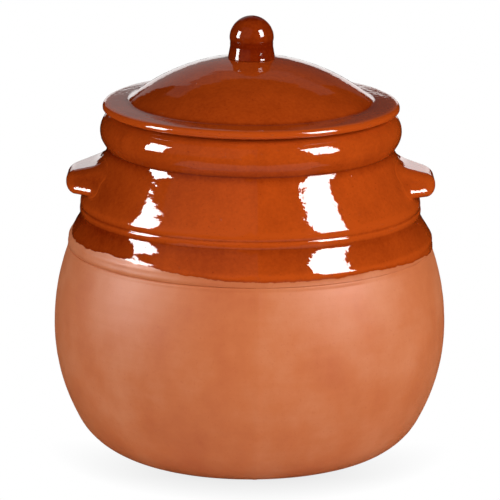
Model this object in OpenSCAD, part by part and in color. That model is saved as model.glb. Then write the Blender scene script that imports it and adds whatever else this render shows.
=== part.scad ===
// Half-glazed earthenware crock: a round-bellied pot with two lug handles, a domed lid that lifts off,
// and a pair of half-round weights on its floor. The axis of the pot is Z and its base stands at z = 0.
// The pot is seen from the front along +Y, so the left handle lies towards -X.

/* [Belly] */
// Outer diameter at the widest point
belly_d = 300; // [280:1:330]
// Height of the widest point
belly_z = 93; // [84:0.5:104]
// Diameter of the flat that the pot stands on
base_d = 213; // [195:1:225]
// Radius of the rounded heel between the base and the side
heel_r = 48; // [40:1:54]
// Angle between the base and the heel where they meet
foot_turn = 20.5; // [10:0.5:30]
// Thickness of the pot's wall
wall_t = 8; // [6:0.5:10]
// Thickness of the floor
base_t = 10; // [8:0.5:14]
// Radius of the rounded corner between the floor and the wall inside
floor_edge_r = 26; // [20:1:32]
// Height of the belly's top edge, where the neck is luted on
joint_z = 155.5; // [146:0.1:162]
// How far the side has drawn in at the belly's top edge
joint_in = 11.4; // [8:0.1:13]
// Radius of the worn edges on each side of the groove at the joint
groove_r = 1.4; // [0.8:0.1:2]

/* [Neck] */
// Height of the upright band above the joint
band_h = 7.3; // [6:0.1:12]
// Height from the joint to the incised line under the shoulder
flare_h = 25; // [23:0.1:30]
// How far the flare draws in from the band to the incised line
flare_in = 9.6; // [7:0.1:12]
// Depth of the incised line
line_deep = 0.5; // [0.3:0.1:1]
// Radius of the rounded turn from the shoulder into the slope
shoulder_r = 26; // [18:1:30]
// Height from the incised line to the corner of the slope above it
shoulder_h = 11.2; // [10:0.1:13]
// Inner diameter of the mouth
mouth_d = 197; // [187:1:207]
// Thickness of the neck at its waist
neck_t = 8.4; // [7:0.1:10]
// Height of the collar, from the waist up to the rim
collar_h = 26.9; // [24:0.1:30]
// How far the collar stands out from the waist
collar_out = 7.1; // [5:0.1:9]
// Height of the rim above the base
rim_z = 258.3; // [250:0.1:266]

/* [Handles] */
// Width of a handle at its tip
handle_w = 62; // [48:1:72]
// How far each side of a handle spreads from the tip in to the neck, in degrees
handle_spread = 28; // [10:1:34]
// How far a handle stands out from the slope at its middle
handle_out = 18.7; // [12:0.1:26]
// Height of a handle's flat underside above the base
handle_z = 196.8; // [193:0.1:201]
// Thickness of a handle at its tip
handle_t = 18; // [14:0.5:22]
// Rise of a handle's top from its tip in to the waist
handle_rise = 12; // [6:0.5:18]
// Radius of a handle's rounded corners, seen from above
handle_corner_r = 12; // [11:0.5:16]
// Radius of a handle's rounded upper edge
handle_edge_r = 8.5; // [4:0.5:10]
// Radius of a handle's rounded lower edge
handle_foot_r = 5; // [3:0.5:8]

/* [Lid] */
// How far the flange reaches out past the mouth
flange_out = 14; // [10:0.5:16]
// Thickness of the flange at its rounded edge
flange_t = 7.4; // [6:0.1:9]
// Rise of the flange's top from its edge to the dome
flange_rise = 0.9; // [0.5:0.1:3]
// How far the dome's foot lies inside the mouth
dome_in = 6.7; // [5:0.1:8]
// Height of the dome's foot above the flange
dome_step = 1.2; // [0.8:0.1:3]
// Rise of the dome from its foot to its crown
dome_h = 32.5; // [26:0.1:40]
// Thickness of the dome
lid_t = 7; // [5:0.1:8]
// Height of the locating ring under the flange
ring_h = 10; // [6:0.5:14]
// Thickness of the locating ring
ring_t = 7; // [5:0.5:9]
// Gap between the locating ring and the mouth, on each side
ring_play = 2; // [1:0.1:4]

/* [Knob] */
// Diameter of the knob's round top
knob_d = 33.4; // [28:0.1:38]
// Height of the knob above its seat on the dome
knob_h = 32.2; // [26:0.1:36]
// Depth of the knob's waist
knob_waist = 0.5; // [0.2:0.1:2]
// How far the knob's foot spreads past its round top
knob_foot = 1.5; // [0.5:0.1:3]

/* [Weights] */
// Thickness of a weight
weight_t = 20; // [14:1:26]
// Gap between the two weights
weight_gap = 4; // [2:0.5:8]
// Gap between the weights and the edge of the floor or the mouth, on each side
weight_play = 3.5; // [2:0.5:8]
// Radius of the rounded edge of a weight
weight_edge_r = 4; // [2:0.5:6]
// Diameter of the finger hole in each weight
finger_d = 26; // [20:1:32]
// Distance from the pot's axis to a finger hole
finger_x = 44; // [36:1:56]

/* [Hidden] */
$fn = 96;
// Degrees of turn between two points of an arc
arc_step = 4;
// Points closer than this count as one
same_point = 0.001;
// Sides of the round ends that a handle is wrapped around
handle_fn = 32;
// Largest share of a thickness that each of its two edges can be rounded by
edge_share = 0.48;

bare_clay = "#C9794C";
brown_glaze = "#8E3D14";
thin_glaze = "#9C5326";

// Belly: three arcs that run into each other, worked out from where they touch
belly_r = belly_d / 2;
base_r = base_d / 2;
heel_x = base_r - heel_r * sin(foot_turn);
heel_z = heel_r * cos(foot_turn);
side_in = belly_r - heel_x;
heel_up = belly_z - heel_z;
low_r = (side_in * side_in + heel_up * heel_up - heel_r * heel_r) / (2 * (side_in - heel_r));
low_x = belly_r - low_r;
low_turn = asin(heel_up / (low_r - heel_r));
joint_up = joint_z - belly_z;
high_r = (joint_up * joint_up + joint_in * joint_in) / (2 * joint_in);
high_x = belly_r - high_r;
high_turn = asin((joint_up - groove_r) / high_r);
joint_r = belly_r - joint_in;

// Inside of the belly: the side's arcs, one wall further in, and a corner of its own at the floor
low_inner_r = low_r - wall_t;
high_inner_r = high_r - wall_t;
floor_edge_up = belly_z - base_t - floor_edge_r;
low_inner_turn = asin(floor_edge_up / (low_inner_r - floor_edge_r));
floor_r = low_x + (low_inner_r - floor_edge_r) * cos(low_inner_turn);
high_inner_turn = asin(joint_up / high_inner_r);
joint_inner_r = high_x + high_inner_r * cos(high_inner_turn);

// Neck: heights and radii that its outline turns at
line_z = joint_z + flare_h;
line_r = joint_r - flare_in;
shoulder_z = line_z + shoulder_h;
waist_z = rim_z - collar_h;
mouth_r = mouth_d / 2;
waist_r = mouth_r + neck_t;
slope = (line_r - waist_r) / (waist_z - shoulder_z);
slope_turn = atan(slope);
// Share of the collar's height at which it is fullest
collar_full = 0.47;
collar_mid = collar_h * collar_full;
collar_r = (collar_mid * collar_mid + collar_out * collar_out) / (2 * collar_out);
collar_x = waist_r + collar_out - collar_r;
collar_z = waist_z + collar_mid;
rim_turn = asin((rim_z - collar_z) / collar_r);
waist_turn = asin(collar_mid / collar_r);
// Roundness of the bends between straight stretches of the outline
bend_r = 4;
wide_bend_r = 20;
rim_edge_r = 2;
// Share of the flare's draw that is left at its bend
flare_left = 0.32;
// The shoulder's rounding ends before the bend above the incised line
shoulder_room = shoulder_h - bend_r - line_deep;
shoulder_round = min(shoulder_r, shoulder_room / tan(slope_turn / 2));

// Handles: the slope's radius half way up a handle sets how far they reach
handle_mid_z = handle_z + handle_t / 2;
handle_tip = waist_r + (waist_z - handle_mid_z) * slope + handle_out;
handle_root = waist_r;
handle_tip_y = handle_w / 2 - handle_corner_r;
handle_root_y = handle_tip_y + (handle_tip - handle_root) * tan(handle_spread);

// Lid: the dome is part of a sphere
dome_foot_r = mouth_r - dome_in;
dome_foot_z = rim_z + flange_t + flange_rise + dome_step;
dome_r = (dome_foot_r * dome_foot_r + dome_h * dome_h) / (2 * dome_h);
dome_z = dome_foot_z + dome_h - dome_r;
dome_foot_turn = acos(dome_foot_r / dome_r);
flange_r = mouth_r + flange_out;
ring_r = mouth_r - ring_play;
ring_inner_r = ring_r - ring_t;
dome_inner_r = dome_r - lid_t;
dome_inner_turn = acos(ring_inner_r / dome_inner_r);
dome_bend_r = 1.2;
ring_edge_r = ring_t * 0.4;

// Knob: it sits on a flat pared on the dome's crown
knob_r = knob_d / 2;
knob_foot_r = knob_r + knob_foot;
// Width of the flat that shows round the knob's foot
seat_edge = 0.5;
seat_r = knob_foot_r + seat_edge;
seat_turn = acos(seat_r / dome_r);
seat_z = dome_z + dome_r * sin(seat_turn);
knob_ball_z = seat_z + knob_h - knob_r;
knob_stem = knob_ball_z - seat_z;
// Heights of the foot's bend and of the waist, as shares of the stem
knob_foot_up = 0.3 * knob_stem;
knob_waist_up = 0.6 * knob_stem;

// Weights: they lie on the flat of the floor and pass the mouth
weight_r = min(floor_r, mouth_r) - weight_play;

// Points along an arc about [x, z] from one angle to another
function arc(x, z, r, from, to) =
    let (steps = max(1, ceil(abs(to - from) / arc_step)))
    [for (i = [0 : steps]) let (a = from + (to - from) * i / steps) [x + r * cos(a), z + r * sin(a)]];

// Points that round the corner q, between the lines from p and to s, with radius r
function corner(p, q, s, r) =
    let (u = (p - q) / norm(p - q),
         v = (s - q) / norm(s - q),
         half = acos(u * v) / 2,
         along = r / tan(half),
         middle = q + (u + v) / norm(u + v) * r / sin(half),
         start = q + u * along - middle,
         end = q + v * along - middle,
         from = atan2(start[1], start[0]),
         turn = atan2(start[0] * end[1] - start[1] * end[0], start * end))
    arc(middle[0], middle[1], r, from, from + turn);

// An outline through points [x, z, r], each rounded with its own radius, and left sharp where r is 0
function outline(points) =
    let (flat = [for (p = points) [p[0], p[1]]])
    [for (i = [0 : len(points) - 1])
        each (points[i][2] == 0 ? [flat[i]] : corner(flat[i - 1], flat[i], flat[i + 1], points[i][2]))];

// Turns a closed outline about Z, leaving out points that repeat the one before them
module turned(points) {
    count = len(points);
    rotate_extrude() polygon(
        [for (i = [0 : count - 1]) if (norm(points[i] - points[(i + 1) % count]) > same_point) points[i]]);
}

// The neck's outside, from the joint up to the rim
function neck_outside() = concat(
    outline([
        [joint_inner_r, joint_z, 0],
        [joint_r, joint_z, groove_r],
        [joint_r, joint_z + band_h, bend_r],
        [line_r + flare_in * flare_left, joint_z + (band_h + flare_h) / 2, wide_bend_r],
        [line_r - line_deep, line_z, line_deep],
        [line_r, line_z + bend_r, bend_r],
        [line_r, shoulder_z, shoulder_round],
        [waist_r + bend_r * slope, waist_z - bend_r, 0]]),
    arc(collar_x, collar_z, collar_r, -waist_turn, rim_turn));

// The neck's inside, from the rim down to the joint
function neck_inside() = outline([
    [collar_x + collar_r * cos(rim_turn), rim_z, 0],
    [mouth_r, rim_z, rim_edge_r],
    [mouth_r, waist_z - neck_t * slope / 2, bend_r],
    [line_r - wall_t, shoulder_z - wall_t * slope / 2, shoulder_round / 2],
    [line_r - wall_t, line_z, wide_bend_r / 2],
    [joint_inner_r, joint_z + band_h / 2, bend_r],
    [joint_inner_r, joint_z, 0]]);

// Everything inside the neck's outer face, used to trim what is luted to it
module neck_filled() {
    turned(concat([[0, joint_z]], neck_outside(), [[0, rim_z]]));
}

module belly() {
    color(bare_clay) turned(concat(
        [[0, 0]],
        arc(heel_x, heel_z, heel_r, foot_turn - 90, -low_turn),
        arc(low_x, belly_z, low_r, -low_turn, 0),
        arc(high_x, belly_z, high_r, 0, high_turn),
        [[joint_r - groove_r, joint_z]],
        arc(high_x, belly_z, high_inner_r, high_inner_turn, 0),
        arc(low_x, belly_z, low_inner_r, 0, -low_inner_turn),
        arc(floor_r, base_t + floor_edge_r, floor_edge_r, -low_inner_turn, -90),
        [[0, base_t]]));
}

module neck() {
    color(brown_glaze) turned(concat(neck_outside(), neck_inside()));
}

// A flat round pebble, standing on z = 0, with its upper and lower edges rounded
module pebble(r, h, top_r, foot_r) {
    most = h * edge_share;
    turned(outline([[0, 0, 0], [r, 0, min(foot_r, most)], [r, h, min(top_r, most)], [0, h, 0]]));
}

// A lug that reaches out along +X, cut to the neck's outer face
module handle() {
    color(brown_glaze) difference() {
        hull() for (side = [-1, 1]) {
            root_t = handle_t + handle_rise;
            translate([handle_tip - handle_corner_r, side * handle_tip_y, handle_z])
                pebble(handle_corner_r, handle_t, handle_edge_r, handle_foot_r, $fn = handle_fn);
            translate([handle_root - handle_corner_r, side * handle_root_y, handle_z])
                pebble(handle_corner_r, root_t, handle_edge_r, handle_foot_r, $fn = handle_fn);
        }
        neck_filled();
    }
}

module left_handle() {
    rotate([0, 0, 180]) handle();
}

module right_handle() {
    handle();
}

module lid() {
    edge_r = flange_t * edge_share;
    flange_top = rim_z + flange_t;
    color(brown_glaze) turned(concat(
        [[0, seat_z]],
        arc(0, dome_z, dome_r, seat_turn, dome_foot_turn),
        outline([
            [dome_foot_r, dome_foot_z, 0],
            [dome_foot_r + dome_step / 2, flange_top + flange_rise, dome_bend_r],
            [flange_r, flange_top, edge_r],
            [flange_r, rim_z, edge_r],
            [ring_inner_r, rim_z, 0]]),
        arc(0, dome_z, dome_inner_r, dome_inner_turn, 90)));
}

module lid_locating_ring() {
    color(thin_glaze) turned(outline([
        [ring_inner_r, rim_z, 0],
        [ring_inner_r, rim_z - ring_h, ring_edge_r],
        [ring_r, rim_z - ring_h, ring_edge_r],
        [ring_r, rim_z, 0]]));
}

module lid_knob() {
    color(brown_glaze) turned(concat(
        [[0, seat_z]],
        outline([
            [knob_foot_r, seat_z, 0],
            [knob_r - knob_waist, seat_z + knob_foot_up, knob_foot_up],
            [knob_r - knob_waist, seat_z + knob_waist_up, knob_waist_up],
            [knob_r, knob_ball_z, 0]]),
        arc(0, knob_ball_z, knob_r, 0, 90)));
}

// Half of a round weight, on the +X side, with its finger hole
module weight() {
    color(thin_glaze) translate([0, 0, base_t]) difference() {
        pebble(weight_r, weight_t, weight_edge_r, weight_edge_r);
        translate([-weight_r - weight_gap / 2, 0, weight_t / 2])
            cube([weight_r * 2 + weight_gap * 2, weight_r * 3, weight_t * 2], center = true);
        translate([finger_x, 0, -weight_t / 2]) cylinder(d = finger_d, h = weight_t * 2);
    }
}

module left_weight() {
    rotate([0, 0, 180]) weight();
}

module right_weight() {
    weight();
}

belly();
neck();
left_handle();
right_handle();
lid();
lid_locating_ring();
lid_knob();
left_weight();
right_weight();
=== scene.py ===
"""A lidded earthenware crock for fermenting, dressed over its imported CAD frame."""

import math
from functools import partial
from itertools import product

import bmesh
import bpy
import numpy as np
from mathutils import Matrix, Vector


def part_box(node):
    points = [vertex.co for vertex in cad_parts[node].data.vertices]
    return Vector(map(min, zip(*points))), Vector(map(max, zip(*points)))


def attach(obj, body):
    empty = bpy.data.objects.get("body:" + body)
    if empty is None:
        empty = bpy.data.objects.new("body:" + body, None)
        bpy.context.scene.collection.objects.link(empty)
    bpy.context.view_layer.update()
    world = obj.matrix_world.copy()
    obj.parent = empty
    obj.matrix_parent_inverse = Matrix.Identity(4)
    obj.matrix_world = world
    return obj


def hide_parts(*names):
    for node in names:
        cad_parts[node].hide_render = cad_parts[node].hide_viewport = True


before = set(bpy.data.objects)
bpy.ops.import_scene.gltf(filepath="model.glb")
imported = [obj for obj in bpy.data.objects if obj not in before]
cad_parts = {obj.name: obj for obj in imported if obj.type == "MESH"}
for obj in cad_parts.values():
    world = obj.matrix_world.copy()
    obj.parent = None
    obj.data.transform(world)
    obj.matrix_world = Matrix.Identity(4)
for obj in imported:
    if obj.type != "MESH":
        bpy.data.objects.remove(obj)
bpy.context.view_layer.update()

bl_info = {
    "name": "Earthenware crock",
    "version": (1, 0, 0),
    "blender": (4, 5, 0),
    "location": "3D View > Sidebar > Crock",
    "description": "Builds a half-dipped earthenware crock with its lid, lugs and pressing weights",
    "category": "Object",
}

# Shapes are worked out in millimetres and written to the meshes in metres.
MM = 0.001
# Heights of the joint under the neck and of its rim, and the lid's radius, in mm.
JOINT_Z, RIM_Z = (corner.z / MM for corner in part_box("neck"))
BRIM_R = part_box("lid")[1].x / MM


def hex_colour(text):
    """The linear colour of an sRGB hex string."""
    values = [int(text[i:i + 2], 16) / 255 for i in (1, 3, 5)]
    linear = [v / 12.92 if v <= 0.04045 else ((v + 0.055) / 1.055) ** 2.4 for v in values]
    return (*linear, 1.0)


def ease(low, high, value):
    """0 below low, 1 above high and a smooth step between them."""
    t = np.clip((np.asarray(value, float) - low) / (high - low), 0, 1)
    return t * t * (3 - 2 * t)


def hump(value, middle, width):
    """A bell of height 1 about middle."""
    return np.exp(-((np.asarray(value, float) - middle) / width) ** 2)


# The kinds of setting: lengths are in metres and angles in radians, as Blender keeps them.
number_prop = bpy.props.FloatProperty
length_prop = partial(number_prop, unit="LENGTH")
angle_prop = partial(number_prop, subtype="ANGLE")
power_prop = partial(number_prop, unit="POWER")
colour_prop = partial(bpy.props.FloatVectorProperty, subtype="COLOR", size=4)


class CrockClay(bpy.types.PropertyGroup):
    """Sizes of what hand and kiln leave on the turned forms."""

    wobble: length_prop(
        name="Wobble", description="How far the walls wander from true round", default=0.00035)
    ring_depth: length_prop(
        name="Throwing line depth", description="Depth of the faint lines round the walls", default=0.00014)
    ring_spacing: length_prop(
        name="Throwing line spacing", description="Distance from one faint line to the next", default=0.006)
    seam_turn: angle_prop(
        name="Seam turn", description="Where the mould seam stands, from the front",
        default=math.radians(2.6))
    seam_width: length_prop(
        name="Seam width", description="Half width of the fettled mould seam", default=0.0015)
    seam_height: length_prop(
        name="Seam height", description="How far the fettled mould seam stands out", default=0.0003)
    band_lift: length_prop(
        name="Band lift", description="How much higher the neck's lines run at the front", default=0.002)
    bead_height: length_prop(
        name="Bead height", description="How far the bead round the shoulder stands out", default=0.0006)
    glaze_thick: length_prop(
        name="Glaze thickness", description="Thickness of the glaze on the clay", default=0.0004)
    glaze_line: length_prop(
        name="Glaze line", description="Height of the glaze's lower edge at the front", default=0.1592)
    glaze_lean: length_prop(
        name="Glaze lean", description="How much lower the glaze runs at the right than in the middle",
        default=0.0044)
    glaze_hold: length_prop(
        name="Glaze hold", description="How much higher the glaze stops at the left, where the pot was held",
        default=0.008)
    glaze_wave: length_prop(
        name="Glaze wave", description="How far the glaze's lower edge rises between its low places",
        default=0.0018)
    lug_fillet: length_prop(
        name="Lug fillet", description="How widely the lugs' tops and sides run into the neck", default=0.006)


class CrockColours(bpy.types.PropertyGroup):
    """Colours of the two fired surfaces."""

    glaze_pool: colour_prop(
        name="Pooled glaze", description="Glaze where it lies thick", default=hex_colour("#741D02"))
    glaze_body: colour_prop(
        name="Glaze", description="Glaze of even thickness", default=hex_colour("#C04C13"))
    glaze_thin: colour_prop(
        name="Thin glaze", description="Glaze drawn thin over an edge", default=hex_colour("#BE571E"))
    clay_body: colour_prop(name="Clay", description="Bare fired clay", default=hex_colour("#CF713D"))
    clay_pale: colour_prop(
        name="Pale clay", description="Bare clay with a pale scum of salts", default=hex_colour("#DA875A"))
    clay_red: colour_prop(
        name="Red clay", description="Bare clay fired a little harder", default=hex_colour("#BF5A2C"))


class CrockStage(bpy.types.PropertyGroup):
    """Where the camera stands and how bright the room is."""

    look_height: length_prop(
        name="Look height", description="Height of the point that the camera looks at", default=0.1494)
    distance: length_prop(name="Camera distance", description="From the camera to that point", default=2.3746)
    elevation: angle_prop(
        name="Camera elevation", description="How far the camera looks down", default=math.radians(14.3))
    roll: angle_prop(
        name="Camera roll", description="How far the camera leans to the left", default=math.radians(0.45))
    lens: number_prop(name="Lens", description="Focal length in millimetres on a 36 mm sensor", default=223.2)
    key_power: power_prop(name="Key light", description="Power of the right softbox", default=20.3)
    fill_power: power_prop(name="Fill light", description="Power of the left softbox", default=13.0)
    room_level: number_prop(name="Room level", description="Plain light from all round", default=0.26)
    gloss_level: number_prop(
        name="Softbox face", description="Brightness of the softboxes in reflections", default=24.0)


def put(tree, kind, inputs=(), out=0, stops=(), **settings):
    """Adds a node with its settings, values and links, and gives one of its outputs, or all for None.

    A kind in capitals is a sum, which the maths node does.
    """
    if kind.isupper():
        kind, settings["operation"] = "ShaderNodeMath", kind
    node = tree.nodes.new(kind)
    for name, value in settings.items():
        setattr(node, name, value)
    for key, value in inputs.items() if isinstance(inputs, dict) else enumerate(inputs):
        if isinstance(value, bpy.types.NodeSocket):
            tree.links.new(value, node.inputs[key])
        else:
            node.inputs[key].default_value = value
    if stops:
        ramp = node.color_ramp.elements
        while len(ramp) < len(stops):
            ramp.new(0.5)
        for element, (place, colour) in zip(ramp, stops):
            element.position = place
            element.color = colour
    return node.outputs if out is None else node.outputs[out]


def begin(owner):
    """Empties the node tree of a new material or world, and gives the function that adds nodes to it."""
    owner.use_nodes = True
    owner.node_tree.nodes.clear()
    return partial(put, owner.node_tree)


def tree_of(name, output, inputs):
    """A Geometry Nodes tree with its named sockets, and whether it has still to be filled."""
    tree = bpy.data.node_groups.get(name)
    if tree:
        return tree, False
    tree = bpy.data.node_groups.new(name, "GeometryNodeTree")
    for label, kind in inputs.items():
        tree.interface.new_socket(label, in_out="INPUT", socket_type="NodeSocket" + kind)
    tree.interface.new_socket(output, in_out="OUTPUT", socket_type="NodeSocketGeometry")
    return tree, True


def outline_of(node):
    """The outline, in mm, whose turn about Z is a CAD node: points anticlockwise, and whether it closes."""
    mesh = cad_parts[node].data
    place = points_of(mesh)
    flat = np.column_stack([radius_of(place), place[:, 2]])
    points, key = np.unique(np.round(flat, 3), axis=0, return_inverse=True)
    key = key.ravel()
    # Points closer than this, in mm, are one.
    same = 0.02
    near = np.abs(points[:, None] - points[None]).max(axis=2) < same
    key = near.argmax(axis=1)[key]
    ends = np.empty(len(mesh.edges) * 2, int)
    mesh.edges.foreach_get("vertices", ends)
    beside = {}
    for a, b in np.unique(np.sort(key[ends].reshape(-1, 2), axis=1), axis=0):
        if a != b:
            beside.setdefault(a, []).append(b)
            beside.setdefault(b, []).append(a)
    if any(len(found) > 2 for found in beside.values()):
        raise RuntimeError(f"{node} isn't a plain turned form")
    tips = sorted((p for p in beside if len(beside[p]) == 1), key=lambda p: points[p][1])
    closed = not tips
    walk = [tips[0] if tips else next(iter(beside))]
    while True:
        onward = [p for p in beside[walk[-1]] if p not in walk[-2:-1]]
        if not onward or onward[0] == walk[0]:
            break
        walk.append(onward[0])
    path = points[walk]
    if closed:
        nxt = np.roll(path, -1, axis=0)
        if (path[:, 0] * nxt[:, 1] - nxt[:, 0] * path[:, 1]).sum() < 0:
            path = path[::-1]
    else:
        if path[0, 0] > same:
            path = np.vstack([[0, path[0, 1]], path])
        if path[-1, 0] > same:
            path = np.vstack([path, [0, path[-1, 1]]])
    return path, closed


def loosened(path, gap, reach):
    """Each point's mean with its neighbours, weighed by their gap along the outline against the reach."""
    pull = np.exp(-0.5 * (gap / reach) ** 2)
    return pull @ path / pull.sum(axis=1, keepdims=True)


def soften(path, closed, least=0.5, most=5, step=0.3, most_points=2200, spare_length=20):
    """Rounds an outline's corners and short straights as wet clay is rounded, at even small steps."""
    loop = np.vstack([path, path[:1]]) if closed else path
    run = np.hypot(*np.diff(loop, axis=0).T)
    along = np.concatenate([[0], np.cumsum(run)])
    total = along[-1]
    count = int(min(total / step, most_points))
    pick = np.linspace(0, total, count, endpoint=not closed)
    dense = np.column_stack([np.interp(pick, along, loop[:, i]) for i in (0, 1)])
    before = np.concatenate([[run[-1] if closed else run[0]], run])
    after = np.concatenate([run, [run[0] if closed else run[-1]]])
    reach = np.interp(pick, along, np.clip(0.5 * np.minimum(before, after), least, most))[:, None]
    if closed:
        gap = np.abs(pick[:, None] - pick[None])
        return loosened(dense, np.minimum(gap, total - gap), reach)
    # An open outline is mirrored in the axis at both ends, so that it stays level there.
    spare = int(spare_length / (total / count))
    ahead, behind = dense[spare:0:-1] * (-1, 1), dense[-2:-spare - 2:-1] * (-1, 1)
    wide = np.vstack([ahead, dense, behind])
    places = np.concatenate([-pick[spare:0:-1], pick, 2 * total - pick[-2:-spare - 2:-1]])
    smooth = loosened(wide, pick[:, None] - places[None], reach)
    smooth[[0, -1], 0] = 0
    return smooth


def facing(path, closed):
    """Outward normals of an anticlockwise outline."""
    if closed:
        way = np.roll(path, -1, axis=0) - np.roll(path, 1, axis=0)
    else:
        way = np.gradient(path, axis=0)
    way /= np.maximum(np.hypot(*way.T), 1e-9)[:, None]
    return np.column_stack([way[:, 1], -way[:, 0]])


def hollows(path, closed, width):
    """How far, in mm, each point lies inside a loosely drawn curve: above 0 in a hollow, below on an edge."""
    run = np.hypot(*np.diff(path, axis=0).T)
    along = np.concatenate([[0], np.cumsum(run)])
    total = along[-1] + (run.mean() if closed else 0)
    gap = np.abs(along[:, None] - along[None])
    if closed:
        gap = np.minimum(gap, total - gap)
    deep = ((loosened(path, gap, width) - path) * facing(path, closed)).sum(axis=1)
    if not closed:
        deep[path[:, 0] < 3 * width] = 0
    return deep


def rows_of(path, closed, spacing, hollow_width=3.0):
    """Thins an outline to rows, spacing(points, normals) mm apart."""
    normal = facing(path, closed)
    deep = hollows(path, closed, hollow_width)
    gaps = np.hypot(*np.diff(path, axis=0).T)
    wanted = spacing(path, normal)
    tally = np.concatenate([[0], np.cumsum(gaps / (0.5 * (wanted[1:] + wanted[:-1])))])
    count = int(round(tally[-1]))
    pick = np.linspace(0, tally[-1], count, endpoint=not closed)
    table = np.column_stack([path, normal, deep])
    return np.column_stack([np.interp(pick, tally, column) for column in table.T])


def turned_tree():
    """Geometry Nodes that turn an outline into a wall that wanders, with throwing lines and seams."""
    tree, empty = tree_of("turned wall", "Wall", {
        "Outline": "Geometry", "Segments": "Int", "Closed": "Int", "Wobble": "Float", "Ring depth": "Float",
        "Ring spacing": "Float", "Seam turn": "Float", "Seam width": "Float", "Seam height": "Float",
        "Seed": "Float", "Material": "Material"})
    if not empty:
        return tree
    add = partial(put, tree)
    given = add("NodeGroupInput", out=None)
    count = add("GeometryNodeAttributeDomainSize", {"Geometry": given["Outline"]}, "Point Count")
    rows = add("ADD", (count, given["Closed"]))
    columns = add("ADD", (given["Segments"], 1.0))
    grid = add("GeometryNodeMeshGrid", {"Vertices X": columns, "Vertices Y": rows}, "Mesh")
    # Each point of the grid finds its column and row, and from them its turn and its point of the outline.
    index = add("GeometryNodeInputIndex")
    share = add("DIVIDE", (add("ADD", (index, 0.5)), rows))
    column = add("FLOOR", (share,))
    row = add("SUBTRACT", (index, add("MULTIPLY", (column, rows))))
    looped = add("FLOORED_MODULO", (add("ADD", (row, 0.5)), count))
    point = add("FLOOR", (looped,))
    round_so_far = add("MULTIPLY", (column, math.tau))
    turn = add("DIVIDE", (round_so_far, given["Segments"]))
    sampled = []
    stored = "GeometryNodeInputNamedAttribute"
    for kind, value in (
        ("FLOAT_VECTOR", add("GeometryNodeInputPosition")),
        ("FLOAT_VECTOR", add(stored, {"Name": "facing"}, data_type="FLOAT_VECTOR")),
        ("FLOAT", add(stored, {"Name": "pool"}, data_type="FLOAT")),
    ):
        sampled.append(add("GeometryNodeSampleIndex",
                           {"Geometry": given["Outline"], "Value": value, "Index": point},
                           data_type=kind, clamp=True))
    place = add("ShaderNodeSeparateXYZ", sampled[:1], None)
    normal = add("ShaderNodeSeparateXYZ", sampled[1:2], None)
    side = add("SINE", (turn,))
    front = add("MULTIPLY", (add("COSINE", (turn,)), -1.0))
    # Throwing lines are drawn out round the pot, and run on over flat faces as rings.
    drawn_in = add("MULTIPLY", (place[0], 0.12))
    climb = add("ADD", (place[2], place[0]))
    swung = []
    for out, up in ((place[0], place[2]), (drawn_in, climb), (normal[0], normal[2])):
        sideways = add("MULTIPLY", (out, side))
        forward = add("MULTIPLY", (out, front))
        swung.append(add("ShaderNodeCombineXYZ", (sideways, forward, up)))
    base, thrown_at, outward = swung
    # Nothing wanders close to the axis, so the poles stay closed.
    free = add("ShaderNodeMapRange", (place[0], 12 * MM, 40 * MM), interpolation_type="SMOOTHSTEP")
    wander_length = 111 * MM
    slow = add("ShaderNodeTexNoise",
               {"Vector": base, "W": given["Seed"], "Scale": 1 / wander_length, "Detail": 1.0},
               noise_dimensions="4D")
    often = add("DIVIDE", (1.0, given["Ring spacing"]))
    thrown = add("ShaderNodeTexNoise",
                 {"Vector": thrown_at, "W": given["Seed"], "Scale": often, "Detail": 2.0, "Roughness": 0.6},
                 noise_dimensions="4D")
    swings = []
    for pattern, reach in ((slow, given["Wobble"]), (thrown, given["Ring depth"])):
        swing = add("SUBTRACT", (pattern, 0.5))
        whole = add("MULTIPLY", (reach, 2.0))
        swings.append(add("MULTIPLY", (swing, whole)))
    # The sine brings the seam round at the back as well as the front.
    past = add("SUBTRACT", (turn, given["Seam turn"]))
    off = add("MULTIPLY", (place[0], add("SINE", (past,))))
    ratio = add("DIVIDE", (off, given["Seam width"]))
    fall = add("MULTIPLY", (add("POWER", (ratio, 2.0)), -1.0))
    bell = add("EXPONENT", (fall,))
    outside = add("ShaderNodeMapRange", (normal[0], 0.0, 0.3), interpolation_type="SMOOTHSTEP")
    seam = add("MULTIPLY", (add("MULTIPLY", (bell, given["Seam height"])), outside))
    total = add("ADD", (add("ADD", swings), seam))
    lift = add("MULTIPLY", (total, free))
    shift = add("ShaderNodeVectorMath", {0: outward, "Scale": lift}, operation="SCALE")
    where = add("ShaderNodeVectorMath", (base, shift), operation="ADD")
    wall = add("GeometryNodeSetPosition", {"Geometry": grid, "Position": where})
    wall = add("GeometryNodeStoreNamedAttribute", {"Geometry": wall, "Name": "pool", "Value": sampled[2]},
               data_type="FLOAT", domain="POINT")
    wall = add("GeometryNodeMergeByDistance", {"Geometry": wall, "Distance": 2e-6})
    wall = add("GeometryNodeSetShadeSmooth", {"Geometry": wall})
    wall = add("GeometryNodeRealizeInstances", {"Geometry": wall})
    wall = add("GeometryNodeSetMaterial", {"Geometry": wall, "Material": given["Material"]})
    add("NodeGroupOutput", {"Wall": wall}, None)
    return tree


def show(name, data):
    """Puts a mesh, a lamp or a camera into the scene."""
    made = bpy.data.objects.new(name, data)
    bpy.context.scene.collection.objects.link(made)
    return made


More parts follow.
